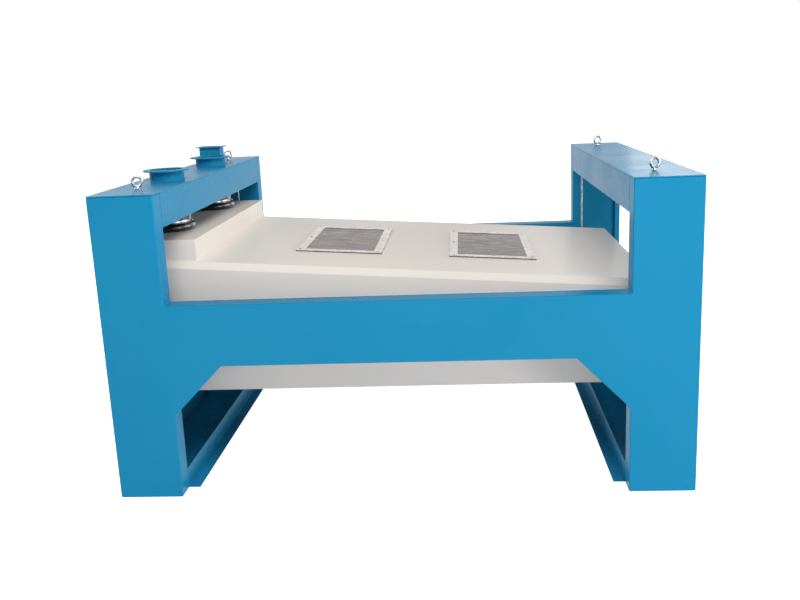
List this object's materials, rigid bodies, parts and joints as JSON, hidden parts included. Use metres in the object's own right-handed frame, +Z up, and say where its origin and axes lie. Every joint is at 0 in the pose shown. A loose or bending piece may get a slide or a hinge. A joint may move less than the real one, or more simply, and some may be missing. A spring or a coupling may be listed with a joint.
{
  "type": "rotary grain cleaner",
  "caption": "Rotary grain cleaner whose covered sieve body hangs on wire ropes in a welded stand and swings in a small circle to sort grain from coarse and fine matter.",
  "frame": {"origin": "on the floor, under the middle of the stand's length and width", "axes": "+X from the feed end to the discharge end, +Y from the front side to the rear side, +Z up"},
  "size_m": [3, 2.48, 1.715],
  "materials": {
    "blue_paint": "semi-gloss blue paint",
    "white_paint": "satin warm white paint",
    "grey_paint": "semi-gloss grey-blue machine paint",
    "clear_plastic": "clear acrylic sheet",
    "aluminium_strip": "satin anodised",
    "zinc_steel": "zinc plated",
    "bright_steel": "turned and ground",
    "rope_steel": "galvanised wire",
    "cast_metal": "machined casting, dark primer",
    "black_rubber": "glossy black rubber",
    "belt_rubber": "fabric faced rubber",
    "ball_rubber": "plain natural rubber",
    "pale_wood": "planed softwood",
    "screen_steel": "perforated bright sheet"
  },
  "bodies": {
    "frame": {"feed_front_column": "blue_paint", "feed_rear_column": "blue_paint", "discharge_front_column": "blue_paint", "discharge_rear_column": "blue_paint", "feed_front_gusset": "blue_paint", "feed_rear_gusset": "blue_paint", "discharge_front_gusset": "blue_paint", "discharge_rear_gusset": "blue_paint", "feed_top_plate": "blue_paint", "discharge_top_plate": "blue_paint", "feed_inner_band": "blue_paint", "discharge_inner_band": "blue_paint", "feed_base_sill": "blue_paint", "discharge_base_sill": "blue_paint", "front_beam": "blue_paint", "rear_beam": "blue_paint", "feed_end_panel": "blue_paint", "discharge_end_panel": "blue_paint", "discharge_outer_band": "blue_paint", "hanger_bars": "blue_paint", "feed_spouts": "blue_paint", "aspiration_port": "blue_paint", "lifting_eyebolts": "zinc_steel"},
    "drive_rotor": {"drive_wheel": "cast_metal", "balance_weights": "cast_metal", "drive_shaft": "bright_steel"},
    "sieve": {"front_side_wall": "white_paint", "rear_side_wall": "white_paint", "feed_end_wall": "white_paint", "discharge_end_wall": "white_paint", "top_cover": "white_paint", "inlet_box": "white_paint", "feed_baffle": "bright_steel", "window_frames": "aluminium_strip", "window_panes": "clear_plastic", "window_screws": "zinc_steel", "fines_pan": "bright_steel", "fines_chute": "white_paint", "grain_chute": "white_paint", "coarse_chute": "white_paint", "base_beams": "grey_paint", "rope_brackets": "white_paint", "wire_ropes": "rope_steel", "feed_sleeves": "black_rubber", "sleeve_clamps": "zinc_steel", "drive_plate": "grey_paint", "bearing_housing": "cast_metal", "drive_bearings": "bright_steel", "motor_bracket": "grey_paint", "drive_motor": "grey_paint", "drive_belts": "belt_rubber"},
    "upper_drawer": {"upper_sieve_frame": "pale_wood", "upper_sieve_front": "white_paint", "upper_sieve_screen": "screen_steel", "upper_cleaning_balls": "ball_rubber"},
    "lower_drawer": {"lower_sieve_frame": "pale_wood", "lower_sieve_front": "white_paint", "lower_sieve_screen": "screen_steel", "lower_cleaning_balls": "ball_rubber"},
    "motor_rotor": {"motor_pulley": "cast_metal"}
  },
  "joints": [
    {"name": "rotor_spin", "type": "hinge", "parent": "frame", "child": "drive_rotor", "pos_m": [0, 0, 0.372], "axis": [0, 0, 1], "continuous": true},
    {"name": "sieve_gyration", "type": "hinge", "parent": "drive_rotor", "child": "sieve", "pos_m": [0, 0.0075, 0.372], "axis": [0, 0, 1], "continuous": true},
    {"name": "motor_spin", "type": "hinge", "parent": "sieve", "child": "motor_rotor", "pos_m": [-0.64, 0.0075, 0.372], "axis": [0, 0, 1], "continuous": true},
    {"name": "upper_sieve_slide", "type": "slide", "parent": "sieve", "child": "upper_drawer", "axis": [0.9977, 0, -0.0684], "range_m": [0, 1.9]},
    {"name": "lower_sieve_slide", "type": "slide", "parent": "sieve", "child": "lower_drawer", "axis": [0.9977, 0, -0.0684], "range_m": [0, 1.9]}
  ],
  "couplings": [
    {"joint": "rotor_spin", "follows": "sieve_gyration", "ratio": -1},
    {"joint": "motor_spin", "follows": "sieve_gyration", "ratio": -3.6494}
  ]
}
